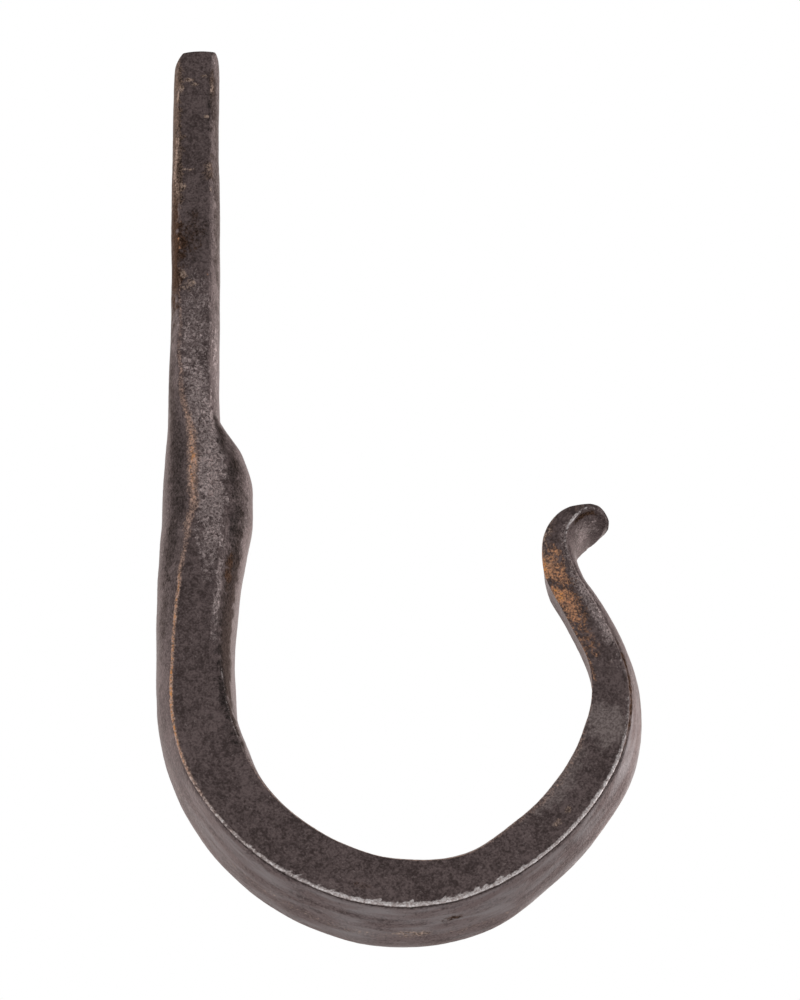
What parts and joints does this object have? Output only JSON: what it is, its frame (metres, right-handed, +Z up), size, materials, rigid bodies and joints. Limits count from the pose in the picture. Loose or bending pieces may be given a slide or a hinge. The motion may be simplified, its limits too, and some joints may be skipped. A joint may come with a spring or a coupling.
{
  "type": "meat hook",
  "caption": "Hand-forged iron hanging hook: straight blunt tang, upset shoulder, wide open bowl and a slim rising limb that ends in a fanned tip rolled outwards.",
  "frame": {"origin": "on the tang's axis at the shoulder line, where the seat of the tang begins", "axes": "+Z up along the tang towards its blunt end, +X from the tang towards the tip, +Y towards the back of the hook"},
  "size_m": [0.0953, 0.017, 0.197],
  "materials": {
    "forged_iron": "dark brown-black forge scale, oiled to a satin sheen, bright where the edges have rubbed"
  },
  "bodies": {
    "root": {"forged_hook": "forged_iron"}
  },
  "joints": []
}
